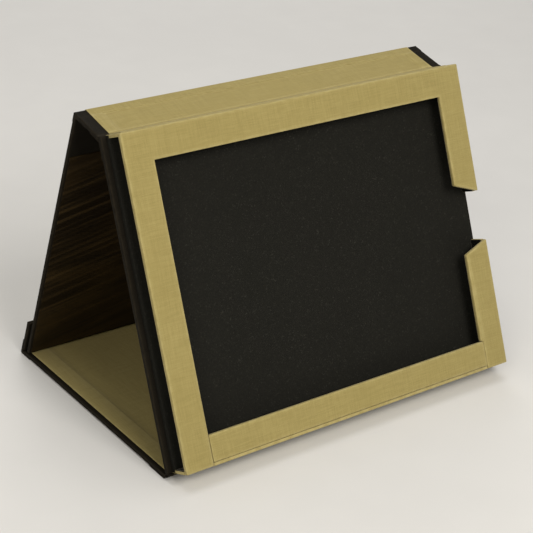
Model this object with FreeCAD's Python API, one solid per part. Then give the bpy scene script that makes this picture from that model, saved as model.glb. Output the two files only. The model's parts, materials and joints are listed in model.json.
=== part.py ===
import FreeCAD, Part
import math
import os

# Cloth-bound folding easel case for a flat tablet, standing as an A-frame.
# Millimetres, +Z up, +X to the right of someone facing the window, who stands on the -Y side.
# Every panel is laid out in its own directions: x along the case, u along the panel away from
# its hinge, and n from the outer face (0) towards the cloth-lined inner face.

# the tablet that the tray is cut for
tablet_width = 241.2
tablet_height = 185.7
tablet_depth = 9.4

# sheet materials
cloth = 0.35          # bookcloth, laid with glue
veneer = 0.5          # wood veneer on the outer faces
cover_thickness = 3.2  # finished panel: veneer, cloth, board, turned-in cloth, lining
cover_board = cover_thickness - veneer - 3 * cloth

# tray build-up, from the back cover side to the front
back_board_thickness = 2.2
floor_board_thickness = 2.65
frame_board_thickness = 2.55
wall_thickness = 1.5       # card of the top and bottom walls
side_wall_thickness = 1.85  # card of the right-hand walls
pocket_clearance = 0.2     # air round the tablet, each way
tablet_peek = 0.8          # how far the tablet's open side stands past the tray

# window frame
stile_width = 18.2
rail_width = 17.7
notch_inner_half = 21.7    # half height of the button notch at the window
notch_outer_half = 15.3    # and at the outer edge
lip_turn_in = 4.0          # cloth turned over the lip's free edge
ledge_drop = 0.5           # the ledge lies this much under the bar's face
bar_overrun = 1.7          # the bar runs this far past the window's right edge
seam = 0.25                # open seams between frame pieces

# covers
cover_overhang = 3.3       # covers stand past the tray at both ends
lining_margin = 7.4        # turned-in cloth left showing round a lining
base_lining_margin = 3.0   # the base's lining runs nearer to its edges
turn_in = 14.0             # width of cloth glued over on the inner side
hinge_lap = 7.0            # a hinge strip's glued width on each side
cover_band = 28.0          # cloth band between the front cover's hinge and its veneer
base_band = 14.0           # and between the base hinge and the base veneer
veneer_margin = 1.6        # cloth showing past the veneer's free edges

# how it stands
tray_lean = 23.5           # degrees back from upright
spine_rise = 12.0          # degrees up towards the rear
leg_lean = 17.5            # degrees forward from upright, also the lip's lean
fold_clearance = 0.5       # between the tray's back and the base, folded flat
tray_rest_gap = 0.5        # under the tray's rear bottom edge, standing
spine_rest_gap = 0.5       # between the tray's top and the spine, folded shut
cover_gap = 1.5            # between the window frame and the closed front cover
foot_clearance = 0.3       # under the front cover's foot
foot_gap = 2.7             # between the front cover's foot and the lip
back_cover_short = 1.7     # closed, the lip stops this far below the tray's top
hinge_ease = 0.25          # spare width of a fold, past what the panels' thickness needs
spine_start = 1.0          # spine board from its hinge line
base_nose = 1.5            # the base runs this far in front of its hinge line

# derived sizes
pocket_depth = tablet_depth + pocket_clearance
back_top = 2 * cloth + back_board_thickness
floor_top = back_top + floor_board_thickness + cloth
frame_back = floor_top + pocket_depth
tray_depth = frame_back + frame_board_thickness + cloth
tray_height = tablet_height + 2 * (pocket_clearance + wall_thickness + cloth)
tray_width = tablet_width - tablet_peek + pocket_clearance + side_wall_thickness + cloth
tray_half = tray_width / 2
cover_half = tray_half + cover_overhang
skin_top = veneer + cloth
board_top = skin_top + cover_board
lining_bottom = board_top + cloth


def tan_deg(angle):
    return math.tan(math.radians(angle))


def unit(angle):
    """The direction at an angle from +Y towards +Z, as (y, z)."""
    return (math.cos(math.radians(angle)), math.sin(math.radians(angle)))


class Panel:
    """A panel's own directions: u at an angle in the Y-Z plane, n square to it."""

    def __init__(self, y, z, angle):
        self.y = y
        self.z = z
        self.angle = angle
        self.placement = FreeCAD.Placement(
            FreeCAD.Vector(0, y, z), FreeCAD.Rotation(FreeCAD.Vector(1, 0, 0), angle)
        )

    def at(self, u, n):
        cos, sin = unit(self.angle)
        return (self.y + u * cos - n * sin, self.z + u * sin + n * cos)

    def block(self, x_range, u_range, n_range):
        size = [high - low for low, high in (x_range, u_range, n_range)]
        corner = FreeCAD.Vector(x_range[0], u_range[0], n_range[0])
        box = Part.makeBox(size[0], size[1], size[2], corner)
        box.Placement = self.placement.multiply(box.Placement)
        return box

    def plate(self, outline, n_range, inset=0.0):
        """A flat plate whose (x, u) outline may be taken in by an inset."""
        points = [FreeCAD.Vector(x, u, 0) for x, u in outline]
        face = Part.Face(Part.makePolygon(points + points[:1]))
        if inset:
            face = Part.Face(face.makeOffset2D(-inset, join=2).Wires[0])
        if face.normalAt(0, 0).z < 0:
            face = face.reversed()
        solid = face.extrude(FreeCAD.Vector(0, 0, n_range[1] - n_range[0]))
        solid.translate(FreeCAD.Vector(0, 0, n_range[0]))
        solid.Placement = self.placement.multiply(solid.Placement)
        return solid


# hinge lines, in the standing pose: the base hinge is at y = 0, z = 0 until the end
back_offset = cover_thickness + fold_clearance
back_panel_origin = (
    -back_offset * unit(tray_lean)[0],
    back_offset * unit(tray_lean)[1],
)
tray = Panel(back_panel_origin[0], back_panel_origin[1], 90 - tray_lean)
tray_bottom = (
    cover_thickness + tray_rest_gap - back_offset * unit(tray_lean)[1]
) / unit(tray_lean)[0]
tray_top = tray_bottom + tray_height
tray_middle = (tray_bottom + tray_top) / 2
spine_hinge = tray.at(tray_top + spine_rest_gap, 0)

# the spine hinge lies in the plane of the spine's lined face
spine_side = unit(spine_rise + 90)
spine = Panel(
    spine_hinge[0] - cover_thickness * spine_side[0],
    spine_hinge[1] - cover_thickness * spine_side[1],
    spine_rise,
)
spine_pitch = tray_depth + cover_gap + cover_thickness
cover_hinge = spine.at(spine_pitch, 0)
cover = Panel(cover_hinge[0], cover_hinge[1], leg_lean - 90)
cover_fold_gap = cover_thickness * tan_deg(45) + hinge_ease
cover_length = (cover_hinge[1] - cover_thickness - foot_clearance) / unit(leg_lean)[0]

base = Panel(0, 0, 0)
leg_line_on_floor = cover_hinge[0] + cover_hinge[1] * tan_deg(leg_lean)
lip_hinge = (
    leg_line_on_floor + (2 * cover_thickness + foot_gap) / unit(leg_lean)[0],
    0,
)
lip_angle = 90 + leg_lean
lip = Panel(lip_hinge[0], lip_hinge[1], lip_angle)
lip_fold_gap = cover_thickness * tan_deg(lip_angle / 2) + hinge_ease
lip_length = tray_top - back_cover_short - lip_hinge[0]
base_end = lip_hinge[0] - lip_fold_gap
window_left = -tray_half + stile_width
window_right = tray_half - stile_width
window_bottom = tray_bottom + rail_width
window_top = tray_top - rail_width
bar_right = window_right + bar_overrun
hinge_lines = {
    "tray_fold": (0, 0),
    "spine_fold": spine_hinge,
    "cover_fold": cover_hinge,
    "lip_fold": lip_hinge,
}

nodes = {}


def meeting(first, first_n, second, second_n):
    """Where one panel's n level crosses another's, as (y, z)."""
    start, other = first.at(0, first_n), second.at(0, second_n)
    way, other_way = unit(first.angle), unit(second.angle)
    cross = way[0] * other_way[1] - way[1] * other_way[0]
    gap = (other[0] - start[0], other[1] - start[1])
    along = (gap[0] * other_way[1] - gap[1] * other_way[0]) / cross
    return (start[0] + along * way[0], start[1] + along * way[1])


def strip(line, half=cover_half):
    """A hinge cloth across the case, lying on the left side of a (y, z) line."""
    legs = list(zip(line, line[1:]))
    sides = []
    for start, end in legs:
        length = math.dist(start, end)
        sides.append(((start[1] - end[1]) / length, (end[0] - start[0]) / length))
    offset = []
    for i, (y, z) in enumerate(line):
        before, after = sides[max(i - 1, 0)], sides[min(i, len(sides) - 1)]
        share = cloth / (1 + before[0] * after[0] + before[1] * after[1])
        offset.append((y + share * (before[0] + after[0]), z + share * (before[1] + after[1])))
    outline = [FreeCAD.Vector(-half, y, z) for y, z in line + offset[::-1]]
    face = Part.Face(Part.makePolygon(outline + outline[:1]))
    return face.extrude(FreeCAD.Vector(2 * half, 0, 0))


def inside(low, high, margin_low, margin_high=None):
    """A range taken in at both ends."""
    return (low + margin_low, high - (margin_low if margin_high is None else margin_high))


def covered_panel(name, panel, u_range, near_turn, far_turn, margin, veneer_range=None):
    """One panel's board, bookcloth, lining and perhaps veneer.

    A turn is 1 where the cloth turns over that end and 0 where a fold goes on from it."""
    x_range = (-cover_half, cover_half)
    board = panel.block(
        inside(*x_range, cloth),
        inside(*u_range, near_turn * cloth, far_turn * cloth),
        (skin_top, board_top),
    )
    infill = panel.block(
        inside(*x_range, turn_in),
        inside(*u_range, near_turn * turn_in, far_turn * turn_in),
        (board_top, lining_bottom),
    )
    sheet = panel.block(
        inside(*x_range, margin),
        inside(*u_range, near_turn * margin, far_turn * margin),
        (lining_bottom, cover_thickness),
    )
    envelope = panel.block(x_range, u_range, (veneer, lining_bottom))
    nodes[name + "_board"] = board
    nodes[name + "_cloth"] = envelope.cut(board).cut(infill)
    nodes[name + "_lining"] = sheet.fuse(infill).removeSplitter()
    if veneer_range:
        nodes[name + "_veneer"] = panel.block(
            inside(*x_range, veneer_margin), veneer_range, (0, veneer)
        )


def covers():
    covered_panel(
        "front_cover", cover, (cover_fold_gap, cover_length), 0, 1, lining_margin,
        (cover_band, cover_length - veneer_margin),
    )
    covered_panel(
        "spine", spine, (spine_start, spine_pitch - cover_fold_gap), 0, 0, lining_margin
    )
    covered_panel(
        "base", base, (-base_nose, base_end), 1, 0, base_lining_margin,
        (base_band, base_end - hinge_lap - veneer_margin),
    )


def lip_panel():
    """Too narrow for a wide turn-in: its cloth laps over both faces' edges."""
    u_range = (lip_fold_gap, lip_length)
    x_range = (-cover_half, cover_half)
    board = lip.block(
        inside(*x_range, cloth), inside(*u_range, 0, cloth), (skin_top, lining_bottom)
    )
    lining = lip.block(
        inside(*x_range, lining_margin), inside(*u_range, 0, lip_turn_in),
        (lining_bottom, cover_thickness),
    )
    envelope = lip.block(x_range, u_range, (veneer, cover_thickness))
    nodes["lip_board"] = board
    nodes["lip_cloth"] = envelope.cut(board).cut(lining)
    nodes["lip_lining"] = lining


def hinge_strips():
    """Cloth across the folds, as it lies in the standing pose."""
    glue = veneer - cloth
    spine_end = spine_pitch - cover_fold_gap
    nodes["cover_hinge_cloth"] = strip([
        spine.at(spine_end - hinge_lap, glue),
        meeting(spine, glue, cover, glue),
        cover.at(cover_fold_gap + hinge_lap, glue),
    ])
    nodes["cover_hinge_lining"] = strip([
        spine.at(spine_end, lining_bottom),
        meeting(spine, lining_bottom, cover, lining_bottom),
        cover.at(cover_fold_gap, lining_bottom),
    ], cover_half - lining_margin)
    nodes["tray_hinge_cloth"] = strip([
        tray.at(tray_top - 2 * cover_thickness - hinge_lap, -cloth),
        meeting(tray, -cloth, spine, glue),
        spine.at(spine_start + hinge_lap, glue),
    ])
    tray_top_line = Panel(*tray.at(tray_top, 0), tray.angle - 90)
    nodes["tray_hinge_lining"] = strip([
        tray.at(tray_top, hinge_lap),
        meeting(tray_top_line, 0, spine, lining_bottom),
        spine.at(spine_start, lining_bottom),
    ], cover_half - lining_margin)
    nodes["base_hinge_cloth"] = strip([
        base.at(base_band - seam, veneer),
        base.at(-base_nose, veneer),
        base.at(-base_nose, lining_bottom),
        tray.at(tray_bottom, 0),
        tray.at(tray_bottom, hinge_lap),
    ])
    nodes["lip_hinge_cloth"] = strip([
        base.at(base_end - hinge_lap, glue),
        meeting(base, glue, lip, glue),
        lip.at(lip_fold_gap + hinge_lap, glue),
    ])


def back_board():
    board = tray.block(
        inside(-cover_half, cover_half, cloth), inside(tray_bottom, tray_top, cloth),
        (cloth, cloth + back_board_thickness),
    )
    opening = tray.block(
        inside(-cover_half, cover_half, turn_in), inside(tray_bottom, tray_top, turn_in),
        (cloth + back_board_thickness, back_top),
    )
    envelope = tray.block((-cover_half, cover_half), (tray_bottom, tray_top), (0, back_top))
    nodes["back_board"] = board
    nodes["back_board_cloth"] = envelope.cut(board).cut(opening)


def tray_floor():
    """The floor board and its black liner, which turns down over the open left edge."""
    x_range = inside(-tray_half, tray_half, cloth)
    u_range = inside(tray_bottom, tray_top, cloth)
    board_range = (back_top, back_top + floor_board_thickness)
    nodes["tray_floor_board"] = tray.block(x_range, u_range, board_range)
    envelope = tray.block((-tray_half, tray_half - cloth), u_range, (back_top, floor_top))
    nodes["tray_floor_liner"] = envelope.cut(nodes["tray_floor_board"])


def clothed(name, board, envelope):
    nodes[name] = board
    nodes[name + "_cloth"] = envelope.cut(board)


def long_walls():
    """Top and bottom walls, their cloth going down over the floor board's edge."""
    for name, outer, inner in (
        ("tray_top_wall", tray_top, tray_top - wall_thickness - cloth),
        ("tray_bottom_wall", tray_bottom, tray_bottom + wall_thickness + cloth),
    ):
        outer_skin = math.copysign(cloth, inner - outer)
        wall_u = sorted((outer + outer_skin, inner))
        board = tray.block(
            (-tray_half + cloth, tray_half - cloth), wall_u, (floor_top, frame_back)
        )
        skin = tray.block(
            (-tray_half, tray_half), sorted((outer, outer + outer_skin)), (back_top, frame_back)
        )
        end = tray.block(
            (-tray_half, -tray_half + cloth), sorted((outer, inner)), (floor_top, frame_back)
        )
        envelope = board.fuse(skin).fuse(end)
        if name == "tray_bottom_wall":
            ledge_x = (window_left + seam, bar_right)
            ledge_top = tray_depth - ledge_drop
            board = board.fuse(tray.block(
                ledge_x, (tray_bottom + cloth, inner), (frame_back, ledge_top - cloth)
            )).removeSplitter()
            envelope = envelope.fuse(tray.block(
                ledge_x, (tray_bottom, inner), (frame_back, ledge_top)
            ))
        clothed(name, board, envelope)


def side_walls():
    """The right-hand walls, one above and one below the button notch."""
    wall_x = (tray_half - side_wall_thickness - cloth, tray_half - cloth)
    shelf = wall_thickness + cloth
    upper = (tray_middle + notch_outer_half, tray_top - shelf)
    lower = (tray_bottom + shelf, tray_middle - notch_outer_half)
    for name, wall_u, end in (
        ("tray_upper_side_wall", upper, upper[0]), ("tray_lower_side_wall", lower, lower[1]),
    ):
        inward = math.copysign(cloth, sum(wall_u) / 2 - end)
        clear_of_end = sorted((end + inward, sum(wall_u) - end))
        board = tray.block(wall_x, clear_of_end, (floor_top, frame_back))
        skin_u = sorted((end, tray_top - cloth if inward > 0 else tray_bottom + cloth))
        skin = tray.block((tray_half - cloth, tray_half), skin_u, (back_top, frame_back))
        cap = tray.block(
            (wall_x[0], tray_half), sorted((end, end + inward)), (floor_top, frame_back)
        )
        clothed(name, board, board.fuse(skin).fuse(cap))


def window_frame():
    """Window frame, lower right stile and bottom bar, each a board wrapped in cloth."""
    notch_top = tray_middle + notch_inner_half, tray_middle + notch_outer_half
    notch_foot = tray_middle - notch_inner_half, tray_middle - notch_outer_half
    frame = [
        (-tray_half, tray_bottom), (window_left, tray_bottom), (window_left, window_top),
        (window_right, window_top), (window_right, notch_top[0]), (tray_half, notch_top[1]),
        (tray_half, tray_top), (-tray_half, tray_top),
    ]
    stile_left = bar_right + seam
    stile = [
        (stile_left, tray_bottom), (tray_half, tray_bottom), (tray_half, notch_foot[1]),
        (window_right, notch_foot[0]), (window_right, window_bottom + seam),
        (stile_left, window_bottom + seam),
    ]
    bar_bottom = tray_bottom + wall_thickness + cloth + seam
    bar = [
        (window_left + seam, bar_bottom), (bar_right, bar_bottom),
        (bar_right, window_bottom), (window_left + seam, window_bottom),
    ]
    for name, outline in (("window_frame", frame), ("lower_stile", stile), ("bottom_bar", bar)):
        board_range = (frame_back, frame_back + frame_board_thickness)
        board = tray.plate(outline, board_range, cloth)
        nodes[name + "_board"] = board
        nodes[name + "_cloth"] = tray.plate(outline, (frame_back, tray_depth)).cut(board)


def main():
    covers()
    lip_panel()
    hinge_strips()
    back_board()
    tray_floor()
    long_walls()
    side_walls()
    window_frame()
    box = Part.makeCompound(list(nodes.values())).BoundBox
    shift = FreeCAD.Vector(0, -(box.YMin + box.YMax) / 2, -box.ZMin)
    os.makedirs("parts", exist_ok=True)
    for name, shape in nodes.items():
        moved = shape.translated(shift)
        assert moved.isValid() and len(moved.Solids) == 1, name
        moved.exportStep(f"parts/{name}.step")
    print(len(nodes), "nodes, box", [round(v, 2) for v in (box.XLength, box.YLength, box.ZLength)])
    for name, point in hinge_lines.items():
        print(name, round(point[0] + shift.y, 3), round(point[1] + shift.z, 3))
    return shift


main()
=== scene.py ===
import json
import math
import bmesh
import bpy
from mathutils import Matrix, Vector


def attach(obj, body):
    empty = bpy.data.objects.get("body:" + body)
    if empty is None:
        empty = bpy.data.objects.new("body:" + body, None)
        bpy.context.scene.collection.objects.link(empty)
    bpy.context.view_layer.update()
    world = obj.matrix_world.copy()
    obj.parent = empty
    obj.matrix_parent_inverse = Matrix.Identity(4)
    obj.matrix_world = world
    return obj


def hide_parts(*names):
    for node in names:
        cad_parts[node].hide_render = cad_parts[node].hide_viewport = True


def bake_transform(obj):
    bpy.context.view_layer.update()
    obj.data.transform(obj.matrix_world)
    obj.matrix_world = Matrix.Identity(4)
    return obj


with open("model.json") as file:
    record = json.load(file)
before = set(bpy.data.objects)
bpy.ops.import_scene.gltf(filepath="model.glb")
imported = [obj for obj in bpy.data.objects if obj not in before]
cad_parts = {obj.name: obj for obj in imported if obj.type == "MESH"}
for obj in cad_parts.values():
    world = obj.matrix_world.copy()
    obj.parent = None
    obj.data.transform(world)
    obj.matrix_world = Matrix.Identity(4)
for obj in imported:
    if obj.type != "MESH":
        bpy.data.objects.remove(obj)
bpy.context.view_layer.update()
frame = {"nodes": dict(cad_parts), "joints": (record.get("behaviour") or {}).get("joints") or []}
nodes = frame["nodes"]
print("frame loaded,", len(nodes), "cad nodes")

# how each panel leans in the standing case, worked back from how far its fold turns
foldTurn = {joint["name"]: joint["range_deg"][1] for joint in frame["joints"]}
lean = {"base": 0.0, "tray": foldTurn["tray_fold"], "lip": foldTurn["lip_fold"]}
lean["spine"] = lean["tray"] + 90 - foldTurn["spine_fold"]
lean["cover"] = lean["spine"] + 90 - foldTurn["cover_fold"]

stock = {
    "cloth": 0.00035,      # bookcloth thickness
    "tuck": 0.0004,        # a board's wrap runs this far into its fold
    "lap": 0.007,          # glued width of a fold's cloth on each panel
    "ridgeLap": 0.0134,    # and on the back of the tray
    "topLap": 0.0125,      # lining glued over the top of the tray
    "support": 0.002,      # loop kept this far in from an edge, to hold its shading
}

# shared by the modelling helpers, with angles in degrees
making = {
    "sameLevel": 1e-5,     # spots closer than this lie on one level
    "facing": 0.9,         # a face whose normal reaches this far along a direction faces it
    "sharpEdge": 25,       # an edge that bends more than this is rounded
    "fullRub": 20,         # cloth that bends this much counts as fully rubbed
    "smoothBelow": 38,     # shading runs smoothly across smaller bends than this
    "foldSmoothBelow": 50,
    "wideFace": 2.5,       # a face this many insets across gets a support loop
}


# A panel is worked on lying flat, x across the case, y along the panel and z through it,
# and is then turned up to its lean.
def flatSpots(node, panel):
    laidFlat = Matrix.Rotation(-math.radians(lean[panel]), 3, "X")
    return [laidFlat @ vertex.co for vertex in nodes[node].data.vertices]


def flatBox(node, panel):
    spots = flatSpots(node, panel)
    low = Vector([min(spot[i] for spot in spots) for i in range(3)])
    high = Vector([max(spot[i] for spot in spots) for i in range(3)])
    return low, high


# the x lines and the y lines that the corners of a node's front face lie on
def frontLines(node, panel):
    spots = flatSpots(node, panel)
    top = max(spot.z for spot in spots)
    front = [spot for spot in spots if top - spot.z < making["sameLevel"]]
    return [sorted({round(spot[i], 6) for spot in front}) for i in (0, 1)]


# shader building
def feed(tree, socket, value):
    if isinstance(value, bpy.types.NodeSocket):
        tree.links.new(value, socket)
    else:
        socket.default_value = value


def mathStep(tree, operation, *values):
    step = tree.nodes.new("ShaderNodeMath")
    step.operation = operation
    for socket, value in zip(step.inputs, values):
        feed(tree, socket, value)
    return step.outputs[0]


def noiseStep(tree, vector, scale, detail=2.0, distortion=0.0):
    step = tree.nodes.new("ShaderNodeTexNoise")
    feed(tree, step.inputs["Vector"], vector)
    feed(tree, step.inputs["Scale"], scale)
    feed(tree, step.inputs["Detail"], detail)
    feed(tree, step.inputs["Distortion"], distortion)
    return step.outputs["Fac"]


def scaleStep(tree, vector, amounts):
    step = tree.nodes.new("ShaderNodeVectorMath")
    step.operation = "MULTIPLY"
    feed(tree, step.inputs[0], vector)
    feed(tree, step.inputs[1], amounts)
    return step.outputs[0]


def mixStep(tree, share, first, second):
    step = tree.nodes.new("ShaderNodeMix")
    step.data_type = "RGBA"
    feed(tree, step.inputs[0], share)
    feed(tree, step.inputs[6], first)
    feed(tree, step.inputs[7], second)
    return step.outputs[2]


def spreadStep(tree, value, low, high, toLow=0.0, toHigh=1.0):
    step = tree.nodes.new("ShaderNodeMapRange")
    step.interpolation_type = "SMOOTHSTEP"
    for label, number in (("Value", value), ("From Min", low), ("From Max", high),
                          ("To Min", toLow), ("To Max", toHigh)):
        feed(tree, step.inputs[label], number)
    return step.outputs["Result"]


def newGroup(name, inputs, outputs):
    group = bpy.data.node_groups.new(name, "ShaderNodeTree")
    for label, kind, value in inputs:
        socket = group.interface.new_socket(name=label, in_out="INPUT", socket_type=kind)
        if value is not None:
            socket.default_value = value
    for label in outputs:
        group.interface.new_socket(name=label, in_out="OUTPUT", socket_type="NodeSocketFloat")
    start = group.nodes.new("NodeGroupInput")
    end = group.nodes.new("NodeGroupOutput")
    return group, start.outputs, end.inputs


def placeGroup(tree, group, **values):
    step = tree.nodes.new("ShaderNodeGroup")
    step.node_tree = group
    for label, value in values.items():
        feed(tree, step.inputs[label], value)
    return step.outputs


def makeThreadWeave():
    # plain weave: two sets of threads, over and under by turns, each thread a little its own
    group, given, made = newGroup(
        "threadWeave",
        [("Vector", "NodeSocketVector", None), ("Pitch", "NodeSocketFloat", 0.0005),
         ("Slub", "NodeSocketFloat", 0.5)],
        ["Height", "Tone", "Gap"],
    )
    wander = noiseStep(group, given["Vector"], 70.0, 3.0)
    bend = mathStep(group, "MULTIPLY", mathStep(group, "SUBTRACT", wander, 0.5), 0.0009)
    shifted = group.nodes.new("ShaderNodeVectorMath")
    shifted.operation = "ADD"
    feed(group, shifted.inputs[0], given["Vector"])
    feed(group, shifted.inputs[1], bend)
    parts = group.nodes.new("ShaderNodeSeparateXYZ")
    feed(group, parts.inputs[0], shifted.outputs[0])
    counts = [mathStep(group, "DIVIDE", parts.outputs[i], given["Pitch"]) for i in (0, 1)]
    waves = [mathStep(group, "SINE", mathStep(group, "MULTIPLY", count, math.pi))
             for count in counts]
    over = mathStep(group, "MULTIPLY", waves[0], waves[1])
    warpUp = mathStep(group, "MULTIPLY_ADD", over, 0.45, 0.55)
    weftUp = mathStep(group, "MULTIPLY_ADD", over, -0.45, 0.55)
    heights = [mathStep(group, "MULTIPLY", mathStep(group, "ABSOLUTE", wave), up)
               for wave, up in zip(waves, (warpUp, weftUp))]
    top = mathStep(group, "MAXIMUM", *heights)
    tones = []
    for count, other in (counts, counts[::-1]):
        # far apart from thread to thread, and drawn out along each one
        threadSpot = group.nodes.new("ShaderNodeCombineXYZ")
        ownNumber = mathStep(group, "FLOOR", count)
        feed(group, threadSpot.inputs[0], mathStep(group, "MULTIPLY", ownNumber, 3.7))
        feed(group, threadSpot.inputs[1], mathStep(group, "MULTIPLY", other, 0.035))
        tones.append(noiseStep(group, threadSpot.outputs[0], 1.0, 2.0))
    share = mathStep(group, "GREATER_THAN", heights[0], heights[1])
    warpTone = mathStep(group, "MULTIPLY", tones[0], share)
    weftTone = mathStep(group, "MULTIPLY", tones[1], mathStep(group, "SUBTRACT", 1.0, share))
    thread = mathStep(group, "ADD", warpTone, weftTone)
    blur = mathStep(group, "MULTIPLY", mathStep(group, "ADD", tones[0], tones[1]), 0.5)
    tone = mathStep(group, "ADD", mathStep(group, "MULTIPLY", thread, 0.7),
                    mathStep(group, "MULTIPLY", blur, 0.3))
    slub = mathStep(group, "MULTIPLY", mathStep(group, "SUBTRACT", blur, 0.5), given["Slub"])
    feed(group, made["Height"], mathStep(group, "ADD", top, slub))
    feed(group, made["Tone"], tone)
    feed(group, made["Gap"], spreadStep(group, top, 0.15, 0.5, 1.0, 0.0))
    return group


def makeCloudTone():
    # broad unevenness of glue, handling and dye
    group, given, made = newGroup(
        "cloudTone",
        [("Vector", "NodeSocketVector", None), ("Scale", "NodeSocketFloat", 22.0)],
        ["Tone", "Swell"],
    )
    broad = noiseStep(group, given["Vector"], given["Scale"], 3.0, 0.4)
    fineScale = mathStep(group, "MULTIPLY", given["Scale"], 9.0)
    fine = noiseStep(group, given["Vector"], fineScale, 3.0)
    mixed = mathStep(group, "ADD", mathStep(group, "MULTIPLY", broad, 0.65),
                     mathStep(group, "MULTIPLY", fine, 0.35))
    feed(group, made["Tone"], spreadStep(group, mixed, 0.3, 0.7))
    feed(group, made["Swell"], broad)
    return group


def makeEdgeRub():
    # worn, polished cloth along folds and corners, broken up by noise
    group, given, made = newGroup(
        "edgeRub",
        [("Vector", "NodeSocketVector", None), ("Rub", "NodeSocketFloat", 0.0),
         ("Amount", "NodeSocketFloat", 1.0)],
        ["Mask"],
    )
    broken = noiseStep(group, given["Vector"], 190.0, 4.0)
    patchy = spreadStep(group, broken, 0.35, 0.62, 0.25, 1.0)
    near = mathStep(group, "POWER", given["Rub"], 2.2)
    edgeWear = mathStep(group, "MULTIPLY", near, patchy)
    worn = mathStep(group, "MULTIPLY", edgeWear, given["Amount"])
    feed(group, made["Mask"], mathStep(group, "MINIMUM", worn, 1.0))
    return group


def makeWoodGrain():
    # flat-cut figure that runs along x, with fine streaks and short dark pores
    group, given, made = newGroup(
        "woodGrain",
        [("Vector", "NodeSocketVector", None), ("Rings", "NodeSocketFloat", 62.0)],
        ["Figure", "Streak", "Pore", "Height"],
    )
    stretched = scaleStep(group, given["Vector"], (2.6, 13.0, 13.0))
    figureField = noiseStep(group, stretched, 1.0, 2.0, 0.5)
    rings = mathStep(group, "SINE", mathStep(group, "MULTIPLY", figureField, given["Rings"]))
    figure = mathStep(group, "MULTIPLY_ADD", rings, 0.5, 0.5)
    streakSpot = scaleStep(group, given["Vector"], (11.0, 330.0, 330.0))
    streak = noiseStep(group, streakSpot, 1.0, 4.0)
    poreSpot = scaleStep(group, given["Vector"], (130.0, 2100.0, 2100.0))
    pore = spreadStep(group, noiseStep(group, poreSpot, 1.0, 1.0), 0.6, 0.72)
    feed(group, made["Figure"], figure)
    feed(group, made["Streak"], streak)
    feed(group, made["Pore"], pore)
    sunkPore = mathStep(group, "MULTIPLY", pore, 0.8)
    feed(group, made["Height"], mathStep(group, "SUBTRACT", streak, sunkPore))
    return group


def makeFibreFleck():
    # pressed fibres, for grey board and for the black nap of the liner
    group, given, made = newGroup(
        "fibreFleck",
        [("Vector", "NodeSocketVector", None), ("Scale", "NodeSocketFloat", 900.0)],
        ["Tone", "Fleck"],
    )
    soft = noiseStep(group, given["Vector"], given["Scale"], 4.0, 1.2)
    sparseScale = mathStep(group, "MULTIPLY", given["Scale"], 0.45)
    sparse = noiseStep(group, given["Vector"], sparseScale, 1.0, 2.0)
    feed(group, made["Tone"], soft)
    feed(group, made["Fleck"], spreadStep(group, sparse, 0.62, 0.72))
    return group


threadWeave = makeThreadWeave()
cloudTone = makeCloudTone()
edgeRub = makeEdgeRub()
woodGrain = makeWoodGrain()
fibreFleck = makeFibreFleck()


def newFinish(name):
    finish = bpy.data.materials.new(name)
    finish.use_nodes = True
    tree = finish.node_tree
    return finish, tree, tree.nodes["Principled BSDF"]


def addBump(tree, shader, height, strength, distance):
    bump = tree.nodes.new("ShaderNodeBump")
    bump.inputs["Strength"].default_value = strength
    bump.inputs["Distance"].default_value = distance
    feed(tree, bump.inputs["Height"], height)
    feed(tree, shader.inputs["Normal"], bump.outputs[0])


# colours of the cloths; "gloss" is the specular level, and the last key sets how dark the painted
# shade in a lining's crease is
khakiRecipe = {
    "pitch": 0.00052, "slub": 0.7, "rubAmount": 0.6,
    "thread": (0.392, 0.318, 0.116, 1), "darkThread": (0.292, 0.233, 0.078, 1),
    "gap": (0.185, 0.145, 0.046, 1), "rubbed": (0.470, 0.392, 0.170, 1),
    "roughness": 0.86, "bump": 0.42, "bumpDepth": 0.00022,
    "sheen": 0.08, "gloss": 0.25, "creaseShadeStrength": 0.5,
}
darkRecipe = {
    "pitch": 0.00046, "slub": 0.8, "rubAmount": 0.5,
    "thread": (0.0132, 0.0106, 0.0064, 1), "darkThread": (0.0076, 0.0060, 0.0036, 1),
    "gap": (0.0040, 0.0032, 0.0021, 1), "rubbed": (0.028, 0.0215, 0.0120, 1),
    "roughness": 0.8, "bump": 0.38, "bumpDepth": 0.00022,
    "sheen": 0.0, "gloss": 0.09, "creaseShadeStrength": 0.0,
}


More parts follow.
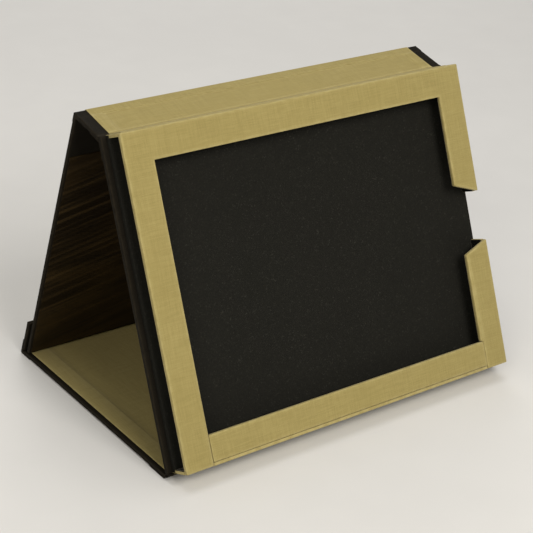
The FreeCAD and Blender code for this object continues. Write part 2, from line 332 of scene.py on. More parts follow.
def clothFinish(name, recipe):
    finish, tree, shader = newFinish(name)
    lie = tree.nodes.new("ShaderNodeUVMap")
    lie.uv_map = "threads"
    spot = lie.outputs[0]
    rub = tree.nodes.new("ShaderNodeAttribute")
    rub.attribute_name = "rub"
    # the crease attribute carries the painted shade along a lining's crease
    sunk = tree.nodes.new("ShaderNodeAttribute")
    sunk.attribute_name = "crease"
    weave = placeGroup(tree, threadWeave, Vector=spot, Pitch=recipe["pitch"], Slub=recipe["slub"])
    cloud = placeGroup(tree, cloudTone, Vector=spot, Scale=22.0)
    worn = placeGroup(tree, edgeRub, Vector=spot, Rub=rub.outputs["Fac"],
                      Amount=recipe["rubAmount"])
    lively = spreadStep(tree, weave["Tone"], 0.25, 0.75)
    shade = mixStep(tree, lively, recipe["darkThread"], recipe["thread"])
    cloudShare = mathStep(tree, "MULTIPLY", cloud["Tone"], 0.24)
    clouded = mixStep(tree, cloudShare, shade, recipe["darkThread"])
    gapShare = mathStep(tree, "MULTIPLY", weave["Gap"], 0.7)
    woven = mixStep(tree, gapShare, clouded, recipe["gap"])
    # painted shade: the lining's crease is darkened towards the gap colour
    creaseShadeShare = mathStep(tree, "MULTIPLY", sunk.outputs["Fac"], recipe["creaseShadeStrength"])
    creaseShaded = mixStep(tree, creaseShadeShare, woven, recipe["gap"])
    colour = mixStep(tree, worn["Mask"], creaseShaded, recipe["rubbed"])
    feed(tree, shader.inputs["Base Color"], colour)
    dull = spreadStep(tree, cloud["Tone"], 0.0, 1.0,
                      recipe["roughness"] - 0.06, recipe["roughness"] + 0.06)
    smoother = mathStep(tree, "SUBTRACT", dull, mathStep(tree, "MULTIPLY", worn["Mask"], 0.12))
    feed(tree, shader.inputs["Roughness"], smoother)
    shader.inputs["Sheen Weight"].default_value = recipe["sheen"]
    shader.inputs["Specular IOR Level"].default_value = recipe["gloss"]
    swell = mathStep(tree, "MULTIPLY", cloud["Swell"], 0.9)
    height = mathStep(tree, "ADD", weave["Height"], swell)
    addBump(tree, shader, height, recipe["bump"], recipe["bumpDepth"])
    return finish


walnutRecipe = {
    "early": (0.0235, 0.0135, 0.0036, 1), "late": (0.0085, 0.0048, 0.0013, 1),
    "streak": (0.050, 0.0295, 0.0078, 1), "pore": (0.0035, 0.0020, 0.0008, 1),
    "gloss": 0.2, "bump": 0.3, "bumpDepth": 0.00012,
    "slant": {"base": 4.0, "cover": 13.0},   # degrees that the grain runs off the case's width
}


def walnutFinish(name, panel):
    # the panel is laid flat by a mapping, so that the grain runs along the case
    finish, tree, shader = newFinish(name)
    place = tree.nodes.new("ShaderNodeTexCoord")
    turned = tree.nodes.new("ShaderNodeMapping")
    turned.inputs["Rotation"].default_value = (-math.radians(lean[panel]), 0, 0)
    feed(tree, turned.inputs["Vector"], place.outputs["Object"])
    slanted = tree.nodes.new("ShaderNodeMapping")
    slant = math.radians(walnutRecipe["slant"][panel])
    slanted.inputs["Rotation"].default_value = (0, 0, slant)
    feed(tree, slanted.inputs["Vector"], turned.outputs[0])
    grain = placeGroup(tree, woodGrain, Vector=slanted.outputs[0])
    cloud = placeGroup(tree, cloudTone, Vector=turned.outputs[0], Scale=9.0)
    figure = mixStep(tree, grain["Figure"], walnutRecipe["early"], walnutRecipe["late"])
    streaked = mixStep(tree, spreadStep(tree, grain["Streak"], 0.42, 0.72, 0.0, 0.8),
                       figure, walnutRecipe["streak"])
    clouded = mixStep(tree, mathStep(tree, "MULTIPLY", cloud["Tone"], 0.4),
                      streaked, walnutRecipe["late"])
    colour = mixStep(tree, mathStep(tree, "MULTIPLY", grain["Pore"], 0.85),
                     clouded, walnutRecipe["pore"])
    feed(tree, shader.inputs["Base Color"], colour)
    feed(tree, shader.inputs["Roughness"], spreadStep(tree, grain["Streak"], 0.2, 0.8, 0.44, 0.62))
    shader.inputs["Specular IOR Level"].default_value = walnutRecipe["gloss"]
    addBump(tree, shader, grain["Height"], walnutRecipe["bump"], walnutRecipe["bumpDepth"])
    return finish


greyBoardRecipe = {
    "base": (0.30, 0.27, 0.23, 1), "fleck": (0.12, 0.10, 0.08, 1),
    "scale": 700.0, "roughness": 0.9, "gloss": 0.12, "bump": 0.4, "bumpDepth": 0.00015,
}
blackNapRecipe = {
    "base": (0.0140, 0.0136, 0.0105, 1), "fleck": (0.032, 0.031, 0.025, 1),
    "scale": 1500.0, "roughness": 0.93, "gloss": 0.12, "bump": 0.5, "bumpDepth": 0.00015,
}


def fibreFinish(name, recipe):
    finish, tree, shader = newFinish(name)
    place = tree.nodes.new("ShaderNodeTexCoord")
    spot = place.outputs["Object"]
    base, roughness = recipe["base"], recipe["roughness"]
    fibre = placeGroup(tree, fibreFleck, Vector=spot, Scale=recipe["scale"])
    cloud = placeGroup(tree, cloudTone, Vector=spot, Scale=30.0)
    darker = tuple(0.55 * part for part in base[:3]) + (1,)
    tone = mixStep(tree, spreadStep(tree, fibre["Tone"], 0.35, 0.65), darker, base)
    clouded = mixStep(tree, mathStep(tree, "MULTIPLY", cloud["Tone"], 0.3), tone, darker)
    fleckShare = mathStep(tree, "MULTIPLY", fibre["Fleck"], 0.6)
    colour = mixStep(tree, fleckShare, clouded, recipe["fleck"])
    feed(tree, shader.inputs["Base Color"], colour)
    feed(tree, shader.inputs["Roughness"], spreadStep(tree, fibre["Tone"], 0.3, 0.7,
                                                      roughness - 0.05, roughness + 0.05))
    shader.inputs["Specular IOR Level"].default_value = recipe["gloss"]
    addBump(tree, shader, fibre["Tone"], recipe["bump"], recipe["bumpDepth"])
    return finish


khakiLinen = clothFinish("khakiLinen", khakiRecipe)
darkCloth = clothFinish("darkCloth", darkRecipe)
greyBoard = fibreFinish("greyBoard", greyBoardRecipe)
blackNap = fibreFinish("blackNap", blackNapRecipe)
print("finishes ready")


# modelling helpers
def deselectAll():
    if bpy.context.mode != "OBJECT":
        bpy.ops.object.mode_set(mode="OBJECT")
    bpy.ops.object.select_all(action="DESELECT")


def settlePlace(piece):
    deselectAll()
    piece.select_set(True)
    bpy.context.view_layer.objects.active = piece
    bpy.ops.object.transform_apply(location=True, rotation=True, scale=True)


def startBlock(name, low, high):
    deselectAll()
    bpy.ops.mesh.primitive_cube_add(size=1, location=(low + high) / 2)
    piece = bpy.context.object
    piece.name = piece.data.name = name
    piece.scale = high - low
    settlePlace(piece)
    return piece


# goes into edit mode with just the faces that wanted(face) picks, and says how many
def editFaces(piece, wanted):
    bpy.context.view_layer.objects.active = piece
    if bpy.context.mode != "EDIT_MESH":
        bpy.ops.object.mode_set(mode="EDIT")
    bpy.ops.mesh.select_mode(type="FACE")
    bpy.ops.mesh.select_all(action="DESELECT")
    cage = bmesh.from_edit_mesh(piece.data)
    for face in cage.faces:
        face.select_set(bool(wanted(face)))
    bmesh.update_edit_mesh(piece.data)
    return sum(face.select for face in cage.faces)


def sliceFaces(piece, wanted, place, facing):
    if editFaces(piece, wanted):
        bpy.ops.mesh.bisect(plane_co=place, plane_no=facing)
    bpy.ops.object.mode_set(mode="OBJECT")


def pushFaces(piece, wanted, step):
    if editFaces(piece, wanted):
        bpy.ops.mesh.extrude_region_move(TRANSFORM_OT_translate={"value": step})
    bpy.ops.object.mode_set(mode="OBJECT")


# rounds every sharp edge, apart from those whose two ends leave(spot) picks
def softenEdges(piece, radius, leave=None, steps=3):
    bpy.context.view_layer.objects.active = piece
    bpy.ops.object.mode_set(mode="EDIT")
    bpy.ops.mesh.select_mode(type="EDGE")
    bpy.ops.mesh.select_all(action="DESELECT")
    cage = bmesh.from_edit_mesh(piece.data)
    limit = math.radians(making["sharpEdge"])
    for edge in cage.edges:
        sharp = len(edge.link_faces) == 2 and edge.calc_face_angle() > limit
        kept = leave and all(leave(vertex.co) for vertex in edge.verts)
        edge.select_set(bool(sharp and not kept))
    bmesh.update_edit_mesh(piece.data)
    bpy.ops.mesh.bevel(offset=radius, offset_type="OFFSET", segments=steps, profile=0.5,
                       clamp_overlap=True, affect="EDGES")
    bpy.ops.object.mode_set(mode="OBJECT")


# a loop just inside each wide flat face, so that its shading stays flat
def addSupport(piece, inset=stock["support"]):
    def wide(face):
        spots = [vertex.co for vertex in face.verts]
        sizes = sorted(max(s[i] for s in spots) - min(s[i] for s in spots) for i in range(3))
        return sizes[1] > making["wideFace"] * inset and sizes[0] < making["sameLevel"]
    if editFaces(piece, wide):
        bpy.ops.mesh.inset(thickness=inset, use_boundary=True, use_even_offset=True)
    bpy.ops.object.mode_set(mode="OBJECT")


# 1 where cloth goes round an edge and 0 on the flat, for the worn look of the edges
def markRub(piece):
    cage = bmesh.new()
    cage.from_mesh(piece.data)
    cage.normal_update()
    rub = piece.data.attributes.new("rub", "FLOAT", "POINT")
    fullBend = math.radians(making["fullRub"])
    for vertex in cage.verts:
        bends = [edge.calc_face_angle() for edge in vertex.link_edges if len(edge.link_faces) == 2]
        rub.data[vertex.index].value = min(1.0, max(bends, default=0.0) / fullBend)
    cage.free()


# a cloth map in metres on each face, along the panel's own directions
def layThreads(piece):
    mesh = piece.data
    threads = mesh.uv_layers.new(name="threads")
    across = {0: (2, 1), 1: (0, 2), 2: (0, 1)}
    for face in mesh.polygons:
        widest = max(range(3), key=lambda i: abs(face.normal[i]))
        first, second = across[widest]
        for loop in face.loop_indices:
            spot = mesh.vertices[mesh.loops[loop].vertex_index].co
            threads.data[loop].uv = (spot[first], spot[second])


def recalcNormals(piece):
    editFaces(piece, lambda face: True)
    bpy.ops.mesh.normals_make_consistent(inside=False)
    bpy.ops.object.mode_set(mode="OBJECT")


def smoothShade(piece, angle=making["smoothBelow"]):
    deselectAll()
    piece.select_set(True)
    bpy.context.view_layer.objects.active = piece
    bpy.ops.object.shade_smooth_by_angle(angle=math.radians(angle))


# turns a piece that lies flat up to its panel's lean, and puts it on its body
def finishPiece(piece, panel, body, finish, slotName, *stoodFor):
    layThreads(piece)
    markRub(piece)
    smoothShade(piece)
    piece.rotation_euler.x = math.radians(lean[panel])
    settlePlace(piece)
    if not piece.data.materials:   # the tray's walls already have their two
        piece.data.materials.append(finish)
    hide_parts(*stoodFor)
    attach(piece, body)


# the four covers: a board wrapped in dark cloth, with a khaki lining let into its inner side
coverPlan = {
    "radius": 0.0006,
    "liningRadius": 0.00012,
    "turnInRamp": 0.0013,  # the lining goes down off the turned-in cloth over this width
    "turnInDrop": 0.00032,
    "creaseFade": 0.007,   # painted shade darkens the lowered cloth beyond the step, fading over this width
    # how strongly each panel's lining shows that painted crease shade
    "creased": {"base": 1.0, "front_cover": 0.7, "spine": 0.15},
    "rampCuts": (0.0, 0.5, 1.0),     # loops across the step, as shares of its width
    "fadeCuts": (0.25, 0.55, 1.0),   # and across the darkening beyond it
    "bedDepth": 0.0005,    # the lining's bed on the bare board is deeper than this
    "lipProud": 0.00012,   # the lip's lining is laid on top, so it stands out by this
    "panels": {            # panel, its body, the end along y where its cloth turns in
        "base": ("base", "base", "near"),
        "lip": ("lip", "lip", "far"),
        "spine": ("spine", "spine", "neither"),
        "front_cover": ("cover", "front_cover", "far"),
    },
}


def wrapCover(name, panel, body, turned):
    low, high = flatBox(name + "_cloth", panel)
    # an end that meets a fold runs on a little way into it
    near = 0.0 if turned == "near" else stock["tuck"]
    far = 0.0 if turned == "far" else stock["tuck"]
    wrap = startBlock(name + "_wrap", low - Vector((0, near, 0)), high + Vector((0, far, 0)))
    softenEdges(wrap, coverPlan["radius"])
    addSupport(wrap)
    finishPiece(wrap, panel, body, darkCloth, "dark_bookcloth", name + "_cloth")
    return wrap


# the lining, with the step where it goes down over the end of the turned-in cloth, and painted
# shade along that step
def lineCover(name, panel, body):
    low, high = flatBox(name + "_lining", panel)
    low.z = high.z - stock["cloth"]
    if name == "lip":
        high.z += coverPlan["lipProud"]
    lining = startBlock(name + "_lining_sheet", low, high)
    bed = high.z - coverPlan["bedDepth"]
    under = [spot for spot in flatSpots(name + "_lining", panel) if spot.z < bed]
    edges = {"left": (0, low.x, 1), "right": (0, high.x, -1),
             "near": (1, low.y, 1), "far": (1, high.y, -1)}
    ramp, fade = coverPlan["turnInRamp"], coverPlan["creaseFade"]
    inner = {}
    for side, (axis, edge, inward) in edges.items():
        steps = [edge + inward * stock["support"]]
        if under:
            place = (min if inward > 0 else max)(spot[axis] for spot in under)
            if abs(place - edge) > stock["support"]:
                inner[side] = axis, place, inward
                steps += [place + inward * ramp * share for share in coverPlan["rampCuts"]]
                steps += [place + inward * (ramp + fade * share) for share in coverPlan["fadeCuts"]]
        for step in steps:
            at, facing = [0, 0, 0], [0, 0, 0]
            at[axis], facing[axis] = step, 1
            sliceFaces(lining, lambda face: True, at, facing)
    softenEdges(lining, coverPlan["liningRadius"], steps=2)
    # painted shade: strongest at the foot of the step, fading away inward
    crease = lining.data.attributes.new("crease", "FLOAT", "POINT")
    for vertex in lining.data.vertices:
        spot = vertex.co
        if spot.z < high.z - making["sameLevel"] or not inner:
            continue
        depth = min(inward * (spot[axis] - place) for axis, place, inward in inner.values())
        share = min(1.0, max(0.0, depth / ramp))
        spot.z -= coverPlan["turnInDrop"] * share * share * (3 - 2 * share)
        past = min(1.0, max(0.0, (depth - ramp) / fade))
        crease.data[vertex.index].value = coverPlan["creased"][name] * share * (1 - past) ** 2
    finishPiece(lining, panel, body, khakiLinen, "khaki_linen", name + "_lining")


for coverName, (panelName, bodyName, turnedEnd) in coverPlan["panels"].items():
    coverWrap = wrapCover(coverName, panelName, bodyName, turnedEnd)
    lineCover(coverName, panelName, bodyName)
print("covers wrapped and lined")


# the tray: back board, black-lined floor and walls
trayPlan = {
    "backRadius": 0.0006,
    "floorRadius": 0.0003,
    "wallRadius": 0.00016,
    "linedSide": 0.7,      # wall faces that turn this far to the tablet have the black lining
}


def wrapBackBoard():
    wrap = startBlock("back_board_wrap", *flatBox("back_board_cloth", "tray"))
    softenEdges(wrap, trayPlan["backRadius"])
    addSupport(wrap)
    finishPiece(wrap, "tray", "tray", darkCloth, "dark_bookcloth", "back_board_cloth")


def lineTrayFloor():
    low, high = flatBox("tray_floor_liner", "tray")
    felt = startBlock("tray_floor_felt", low, high)
    softenEdges(felt, trayPlan["floorRadius"],
                leave=lambda spot: spot.x > high.x - making["sameLevel"])
    addSupport(felt)
    finishPiece(felt, "tray", "tray", blackNap, "black_liner", "tray_floor_liner")


# a card wall and its cloth, which goes on down over the floor board's edge
def wrapWall(name, axis, side, ledge=None):
    low, high = flatBox(name + "_cloth", "tray")
    cardLow = flatBox(name, "tray")[0]
    shelf = flatBox("window_frame_cloth", "tray")[0].z
    flapDrop = cardLow.z - low.z
    low.z, high.z = cardLow.z, shelf
    wall = startBlock(name + "_wrap", low, high)
    outer = high[axis] if side > 0 else low[axis]
    skin = outer - side * stock["cloth"]
    at, facing = [0, 0, 0], [0, 0, 0]
    at[axis], facing[axis] = skin, 1
    sliceFaces(wall, lambda face: True, at, facing)
    pushFaces(
        wall,
        lambda face: face.normal.z < -making["facing"]
        and side * (face.calc_center_median()[axis] - skin) > 0,
        (0, 0, -flapDrop),
    )
    if ledge:
        for place in ledge[:2]:
            sliceFaces(wall, lambda face: True, (place, 0, 0), (1, 0, 0))
        pushFaces(
            wall,
            lambda face: face.normal.z > making["facing"]
            and ledge[0] < face.calc_center_median().x < ledge[1],
            (0, 0, ledge[2] - shelf),
        )
    softenEdges(wall, trayPlan["wallRadius"], steps=2,
                leave=lambda spot: abs(spot.z - shelf) < making["sameLevel"]
                and side * (spot[axis] - skin) > 0)
    addSupport(wall)
    # cloth outside, black paper on the side that faces the tablet
    wall.data.materials.append(khakiLinen)
    wall.data.materials.append(blackNap)
    for face in wall.data.polygons:
        if side * face.normal[axis] < -trayPlan["linedSide"] and face.center.z < shelf:
            face.material_index = 1
    finishPiece(wall, "tray", "tray", khakiLinen, "khaki_linen", name + "_cloth")


# the thin ledge that the bottom wall's cloth makes below the bar: its two ends and its top
def ledgeSpan():
    low, high = flatBox("bottom_bar_cloth", "tray")
    top = flatBox("tray_bottom_wall_cloth", "tray")[1].z
    return low.x, high.x, top


wrapBackBoard()
lineTrayFloor()
wrapWall("tray_top_wall", 1, 1)
wrapWall("tray_bottom_wall", 1, -1, ledgeSpan())
wrapWall("tray_upper_side_wall", 0, 1)
wrapWall("tray_lower_side_wall", 0, 1)
print("tray walled")


# the window frame, the lower stile and the bottom bar: boards cut from sheet, then wrapped
framePlan = {"radius": 0.0008, "barRadius": 0.0006}


def startSheet(name, low, high):
    deselectAll()
    bpy.ops.mesh.primitive_plane_add(
        size=1, location=((low.x + high.x) / 2, (low.y + high.y) / 2, low.z))
    piece = bpy.context.object
    piece.name = piece.data.name = name
    piece.scale = (high.x - low.x, high.y - low.y, 1)
    settlePlace(piece)
    return piece


def dropFaces(piece, unwanted):
    if editFaces(piece, unwanted):
        bpy.ops.mesh.delete(type="FACE")
    bpy.ops.object.mode_set(mode="OBJECT")


def thicken(piece, thickness):
    pushFaces(piece, lambda face: True, (0, 0, thickness))
    recalcNormals(piece)


# cuts a sheet on straight lines and one slant, drops what is open, and thickens the rest
def wrapFrame(name, cuts, slant, unwanted, hiddenBack):
    low, high = flatBox(name + "_cloth", "tray")
    piece = startSheet(name + "_wrap", low, high)
    for place, facing in cuts:
        sliceFaces(piece, lambda face: True, place, facing)
    start, end, near = slant
    across = Vector((start[1] - end[1], end[0] - start[0], 0))
    sliceFaces(piece, lambda face: near(face.calc_center_median()), (*start, 0), across)
    dropFaces(piece, lambda face: unwanted(face.calc_center_median()))
    thicken(piece, high.z - low.z)
    softenEdges(piece, framePlan["radius"],
                leave=lambda spot: spot.z < low.z + making["sameLevel"]
                and hiddenBack(spot, low, high))
    addSupport(piece)
    finishPiece(piece, "tray", "tray", khakiLinen, "khaki_linen", name + "_cloth")


def overLine(spot, start, end):
    rise = (end[1] - start[1]) / (end[0] - start[0])
    return spot.y > start[1] + rise * (spot.x - start[0])


def atWalls(spot, low, high):
    near = making["sameLevel"]
    return spot.y > high.y - near or spot.y < low.y + near or spot.x > high.x - near


def wrapWindowFrame():
    xLines, yLines = frontLines("window_frame_cloth", "tray")
    left, right, edge = xLines[1], xLines[2], xLines[3]
    notchOuter, notchInner, top = yLines[1], yLines[2], yLines[3]
    start, end = (right, notchInner), (edge, notchOuter)
    return wrapFrame(
        "window_frame",
        [((left, 0, 0), (1, 0, 0)), ((right, 0, 0), (1, 0, 0)), ((0, top, 0), (0, 1, 0))],
        (start, end, lambda spot: spot.x > right and spot.y < top),
        lambda spot: spot.y < top and spot.x > left
        and not (spot.x > right and overLine(spot, start, end)),
        atWalls,
    )


def wrapLowerStile():
    xLines, yLines = frontLines("lower_stile_cloth", "tray")
    left, step, edge = xLines
    barTop, notchInner, notchOuter = yLines[1:]
    start, end = (left, notchInner), (edge, notchOuter)
    return wrapFrame(
        "lower_stile",
        [((step, 0, 0), (1, 0, 0)), ((0, barTop, 0), (0, 1, 0))],
        (start, end, lambda spot: spot.y > barTop),
        lambda spot: (spot.x < step and spot.y < barTop)
        or (spot.y > barTop and overLine(spot, start, end)),
        atWalls,
    )


def wrapBottomBar():
    bar = startBlock("bottom_bar_wrap", *flatBox("bottom_bar_cloth", "tray"))
    softenEdges(bar, framePlan["barRadius"])
    addSupport(bar)
    finishPiece(bar, "tray", "tray", khakiLinen, "khaki_linen", "bottom_bar_cloth")


wrapWindowFrame()
wrapLowerStile()
wrapBottomBar()
print("window frame wrapped")


# the folds: cloth carried from one panel to the next, modelled as a section across the case
foldPlan = {
    "softCorner": 0.0012,
    "tightCorner": 0.0006,
    "ridgeCorner": 0.00025,
    "arcSteps": 6,
    "arcShare": 0.45,      # an arc takes up no more than this share of each run beside it
    "straight": 88,        # half of a corner's angle in degrees, above which it isn't rounded
    "leastMiter": 0.3,     # keeps the far side of a very sharp corner from running away
    "supportReach": 0.0009,
    "footLap": 0.015,      # glued width of the foot's cloth under the base
    "apexReach": 0.0022,   # half the span between the apex fold's start and end spots
    "ridgeHold": 0.0005,   # the ridge fold's start spot lies this far past the tray's corner
    "lipWeb": 0.0016,      # the lip's cloth lies in a groove, so that the closed tray clears it
}


def along(panel):
    angle = math.radians(lean[panel])
    return Vector((math.cos(angle), math.sin(angle)))


def through(panel):
    way = along(panel)
    return Vector((-way.y, way.x))


def sectionSpot(panel, y, z):
    return along(panel) * y + through(panel) * z


# where two lines cross; each is its normal and how far out along that it lies
def crossing(first, second):
    (a, p), (b, q) = first, second
    cross = a.x * b.y - a.y * b.x
    return Vector(((p * b.y - q * a.y) / cross, (q * a.x - p * b.x) / cross))


def level(panel, z):
    return through(panel), z


def edgeLine(panel, y):
    return along(panel), y


# the line with an arc at each inner point, in small steps
def roundCorners(line, radii):
    smooth = [line[0]]
    for before, corner, after, radius in zip(line, line[1:], line[2:], radii):
        inWay, outWay = (before - corner).normalized(), (after - corner).normalized()
        halfAngle = inWay.angle(outWay) / 2
        if radius == 0 or halfAngle > math.radians(foldPlan["straight"]):
            smooth.append(corner)
            continue
        reach = min(radius / math.tan(halfAngle),
                    foldPlan["arcShare"] * (before - corner).length,
                    foldPlan["arcShare"] * (after - corner).length)
        steps = foldPlan["arcSteps"]
        for i in range(steps + 1):
            t = i / steps
            first = corner + inWay * reach * (1 - t)
            second = corner + outWay * reach * t
            smooth.append(first.lerp(second, t))
    smooth.append(line[-1])
    return smooth


# the same line moved sideways, for the other face of a cloth
def offsetLine(line, distance):
    moved = []
    for i, spot in enumerate(line):
        ways = []
        if i > 0:
            ways.append((spot - line[i - 1]).normalized())
        if i < len(line) - 1:
            ways.append((line[i + 1] - spot).normalized())
        sides = [Vector((-way.y, way.x)) for way in ways]
        mean = sum(sides, Vector((0, 0))).normalized()
        moved.append(spot + mean * distance / max(foldPlan["leastMiter"], mean.dot(sides[0])))
    return moved


# adds a point near each end of the long runs, so that wear and shading stay at corners
def withSupport(outline):
    reach = foldPlan["supportReach"]
    full = [outline[0]]
    for start, end in zip(outline, outline[1:]):
        length = (end - start).length
        if length > 3 * reach:
            full += [start.lerp(end, reach / length), end.lerp(start, reach / length)]
        full.append(end)
    return full


# a bar across the case with that section, its threads following the section round
def crossBar(name, outline, half):
    outline = withSupport(outline)
    deselectAll()
    bpy.ops.mesh.primitive_circle_add(vertices=len(outline), radius=1, fill_type="NGON")
    bar = bpy.context.object
    bar.name = bar.data.name = name
    for vertex, spot in zip(bar.data.vertices, outline):
        vertex.co = (-half, spot.x, spot.y)
    pushFaces(bar, lambda face: True, (2 * half, 0, 0))
    recalcNormals(bar)
    lengths, total = {}, 0.0
    for i, spot in enumerate(outline):
        if i:
            total += (spot - outline[i - 1]).length
        lengths[(round(spot.x, 7), round(spot.y, 7))] = total
    for place in (stock["support"] - half, half - stock["support"]):
        sliceFaces(bar, lambda face: True, (place, 0, 0), (1, 0, 0))
    threads = bar.data.uv_layers.new(name="threads")
    for face in bar.data.polygons:
        for loop in face.loop_indices:
            spot = bar.data.vertices[bar.data.loops[loop].vertex_index].co
            gone = lengths.get((round(spot.y, 7), round(spot.z, 7)), 0.0)
            endFace = abs(face.normal.x) > making["facing"]
            threads.data[loop].uv = (spot.y, spot.z) if endFace else (spot.x, gone)
    return bar


def finishFold(bar, finish, slotName, bodies, start, end, *stoodFor):
    markRub(bar)
    smoothShade(bar, making["foldSmoothBelow"])
    bar.data.materials.append(finish)
    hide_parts(*stoodFor)
    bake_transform(bar)
    return bar


def foldLining(name, line, half, bodies, start, end, cadNode):
    outline = line + offsetLine(line, stock["cloth"])[::-1]
    strip = crossBar(name, outline, half)
    finishFold(strip, khakiLinen, "khaki_linen", bodies, start, end, cadNode)


clothHalf = flatBox("front_cover_cloth", "cover")[1].x
liningHalf = flatBox("front_cover_lining", "cover")[1].x
baseLow, baseHigh = flatBox("base_cloth", "base")
lipLow, lipHigh = flatBox("lip_cloth", "lip")
spineLow, spineHigh = flatBox("spine_cloth", "spine")
coverLow, coverHigh = flatBox("front_cover_cloth", "cover")
backLow, backHigh = flatBox("back_board_cloth", "tray")
cloth, lap = stock["cloth"], stock["lap"]
soft, tight = foldPlan["softCorner"], foldPlan["tightCorner"]


def foldApex():
    under = [
        sectionSpot("spine", spineHigh.y - lap, spineLow.z - cloth),
        crossing(level("spine", spineLow.z - cloth), level("cover", coverLow.z - cloth)),
        sectionSpot("cover", coverLow.y + lap, coverLow.z - cloth),
    ]
    over = [
        sectionSpot("cover", coverLow.y + lap, coverLow.z),
        sectionSpot("cover", coverLow.y, coverLow.z),
        sectionSpot("cover", coverLow.y, coverHigh.z),
        crossing(level("spine", spineHigh.z), level("cover", coverHigh.z)),
        sectionSpot("spine", spineHigh.y, spineHigh.z),
        sectionSpot("spine", spineHigh.y, spineLow.z),
        sectionSpot("spine", spineHigh.y - lap, spineLow.z),
    ]
    # the start and end spots lie close to the hinge line, square to the way its corner points
    hinge = crossing(level("spine", spineLow.z), level("cover", coverLow.z))
    corner = crossing(level("spine", spineHigh.z), level("cover", coverHigh.z)) - hinge
    reach = Vector((corner.y, -corner.x)).normalized() * foldPlan["apexReach"]
    start, end = hinge - reach, hinge + reach
    bodies = ("spine", "front_cover")
    outline = roundCorners(under, [soft]) + roundCorners(over, [0, 0, tight, 0, 0])
    fold = crossBar("apex_fold", outline, clothHalf)
    finishFold(fold, darkCloth, "dark_bookcloth", bodies, start, end, "cover_hinge_cloth")
    line = roundCorners([
        sectionSpot("cover", coverLow.y, coverHigh.z),
        crossing(level("spine", spineHigh.z), level("cover", coverHigh.z)),
        sectionSpot("spine", spineHigh.y, spineHigh.z),
    ], [tight])
    # the start and end spots span the whole gap between the two boards
    start = sectionSpot("spine", spineHigh.y, (spineLow.z + spineHigh.z) / 2)
    end = sectionSpot("cover", coverLow.y, (coverLow.z + coverHigh.z) / 2)
    foldLining("apex_lining", line[::-1], liningHalf, bodies, start, end, "cover_hinge_lining")


def foldRidge():
    trayBack = backLow.z
    under = [
        sectionSpot("tray", backHigh.y - stock["ridgeLap"], trayBack - cloth),
        crossing(level("tray", trayBack - cloth), level("spine", spineLow.z - cloth)),
        sectionSpot("spine", spineLow.y, spineLow.z - cloth),
        sectionSpot("spine", spineLow.y + lap, spineLow.z - cloth),
    ]
    over = [
        sectionSpot("spine", spineLow.y + lap, spineLow.z),
        sectionSpot("spine", spineLow.y, spineLow.z),
        sectionSpot("spine", spineLow.y, spineHigh.z),
        crossing(edgeLine("tray", backHigh.y), level("spine", spineHigh.z)),
        sectionSpot("tray", backHigh.y, trayBack),
        sectionSpot("tray", backHigh.y - stock["ridgeLap"], trayBack),
    ]
    # the start and end spots lie level, across the narrow gap between the tray and the spine
    start = sectionSpot("tray", backHigh.y, trayBack) + Vector((foldPlan["ridgeHold"], 0))
    end = Vector((sectionSpot("spine", spineLow.y, spineHigh.z).x, start.y))
    bodies = ("tray", "spine")
    outline = roundCorners(under, [foldPlan["ridgeCorner"], 0]) + over
    fold = crossBar("ridge_fold", outline, clothHalf)
    finishFold(fold, darkCloth, "dark_bookcloth", bodies, start, end, "tray_hinge_cloth")
    line = roundCorners([
        sectionSpot("tray", backHigh.y, trayBack + stock["topLap"]),
        crossing(edgeLine("tray", backHigh.y), level("spine", spineHigh.z)),
        sectionSpot("spine", spineLow.y, spineHigh.z),
    ], [soft])
    foldLining("ridge_lining", line, liningHalf, bodies, start, end, "tray_hinge_lining")


def foldFoot():
    nose, floorLevel = baseLow.y, baseLow.z
    outerLine = roundCorners([
        sectionSpot("base", nose + foldPlan["footLap"], floorLevel - cloth),
        sectionSpot("base", nose - cloth, floorLevel - cloth),
        sectionSpot("base", nose - cloth, baseHigh.z),
        sectionSpot("tray", backLow.y - cloth, backLow.z),
        sectionSpot("tray", backLow.y - cloth, backLow.z + lap),
    ], [tight, tight, tight])
    outline = outerLine + offsetLine(outerLine, -cloth)[::-1]
    fold = crossBar("foot_fold", outline, clothHalf)
    start = sectionSpot("base", nose, baseHigh.z)
    end = sectionSpot("tray", backLow.y, backLow.z)
    finishFold(fold, darkCloth, "dark_bookcloth", ("base", "tray"), start, end, "base_hinge_cloth")


def foldLip():
    baseWeb, lipWeb = baseLow.z + foldPlan["lipWeb"], lipLow.z + foldPlan["lipWeb"]
    under = [
        sectionSpot("base", baseHigh.y - lap, baseLow.z - cloth),
        crossing(level("base", baseLow.z - cloth), level("lip", lipLow.z - cloth)),
        sectionSpot("lip", lipLow.y + lap, lipLow.z - cloth),
    ]
    over = [
        sectionSpot("lip", lipLow.y + lap, lipLow.z),
        sectionSpot("lip", lipLow.y, lipLow.z),
        sectionSpot("lip", lipLow.y, lipWeb),
        crossing(level("base", baseWeb), level("lip", lipWeb)),
        sectionSpot("base", baseHigh.y, baseWeb),
        sectionSpot("base", baseHigh.y, baseLow.z),
        sectionSpot("base", baseHigh.y - lap, baseLow.z),
    ]
    start = sectionSpot("base", baseHigh.y, (baseLow.z + baseHigh.z) / 2)
    end = sectionSpot("lip", lipLow.y, (lipLow.z + lipHigh.z) / 2)
    outline = roundCorners(under, [soft]) + over
    fold = crossBar("lip_fold_cloth", outline, clothHalf)
    finishFold(fold, darkCloth, "dark_bookcloth", ("base", "lip"), start, end, "lip_hinge_cloth")


foldApex()
foldRidge()
foldFoot()
foldLip()
print("folds carried over")


# boards and veneers keep their cad shape and take their finish
veneerFinish = {
    "base_veneer": walnutFinish("walnutUnder", "base"),
    "front_cover_veneer": walnutFinish("walnutFront", "cover"),
}
for nodeName, node in nodes.items():
    if not node.hide_render:
        node.data.materials.clear()
        node.data.materials.append(veneerFinish.get(nodeName, greyBoard))

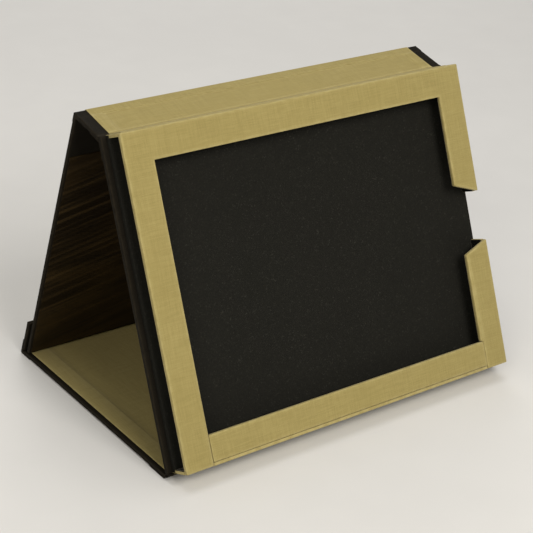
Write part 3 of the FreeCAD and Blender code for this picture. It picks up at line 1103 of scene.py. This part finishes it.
# studio
studio = {
    "floorSize": 9.0,
    "floorPlace": (0, 0, -0.0002),   # just clear of the veneer that rests on it
    "floorColour": (0.74, 0.73, 0.71, 1), "floorShade": 0.96, "floorRoughness": 0.85,
    "sky": (0.82, 0.81, 0.79, 1), "skyStrength": 0.36,
    "aim": (0, 0, 0.08),
    "lights": {
        "keyPanel": {"place": (-0.1, -1.3, 1.15), "size": 0.9, "power": 17.8,
                     "warmth": (1.0, 0.97, 0.92)},
        "fillPanel": {"place": (-1.3, -0.9, 1.0), "size": 0.9, "power": 8.0,
                      "warmth": (1.0, 0.94, 0.82)},
        "backPanel": {"place": (0.75, 1.35, 0.95), "size": 1.1, "power": 5.0,
                      "warmth": (1.0, 0.98, 0.95)},
        "topPanel": {"place": (0.0, 0.35, 1.7), "size": 1.2, "power": 7.0,
                     "warmth": (1.0, 0.99, 0.97)},
    },
    "cameraPlace": (-0.5397, -0.6815, 0.5014),
    "cameraTurn": (63.49, -3.36, -36.46),
    "lens": 107.1, "sensor": 36.0,
}


def paleFloor():
    deselectAll()
    bpy.ops.mesh.primitive_plane_add(size=studio["floorSize"], location=studio["floorPlace"])
    floor = bpy.context.object
    floor.name = "studioFloor"
    finish, tree, shader = newFinish("paleFloor")
    place = tree.nodes.new("ShaderNodeTexCoord")
    cloud = placeGroup(tree, cloudTone, Vector=place.outputs["Object"], Scale=3.0)
    pale = studio["floorColour"]
    darker = tuple(studio["floorShade"] * part for part in pale[:3]) + (1,)
    feed(tree, shader.inputs["Base Color"], mixStep(tree, cloud["Tone"], darker, pale))
    shader.inputs["Roughness"].default_value = studio["floorRoughness"]
    floor.data.materials.append(finish)


def softLights():
    aim = Vector(studio["aim"])
    for name, plan in studio["lights"].items():
        light = bpy.data.lights.new(name, "AREA")
        light.shape = "DISK"
        light.size, light.energy, light.color = plan["size"], plan["power"], plan["warmth"]
        holder = bpy.data.objects.new(name, light)
        holder.location = plan["place"]
        holder.rotation_euler = (aim - holder.location).to_track_quat("-Z", "Y").to_euler()
        bpy.context.scene.collection.objects.link(holder)
    world = bpy.context.scene.world or bpy.data.worlds.new("studioAir")
    bpy.context.scene.world = world
    world.use_nodes = True
    air = world.node_tree.nodes["Background"]
    air.inputs[0].default_value = studio["sky"]
    air.inputs[1].default_value = studio["skyStrength"]


def setCamera():
    lens = bpy.data.cameras.new("studioCamera")
    lens.lens, lens.sensor_width = studio["lens"], studio["sensor"]
    holder = bpy.data.objects.new("studioCamera", lens)
    holder.location = studio["cameraPlace"]
    holder.rotation_euler = [math.radians(turn) for turn in studio["cameraTurn"]]
    bpy.context.scene.collection.objects.link(holder)
    bpy.context.scene.camera = holder


paleFloor()
softLights()
setCamera()
bpy.context.scene.view_settings.view_transform = "Standard"
print("studio lit")
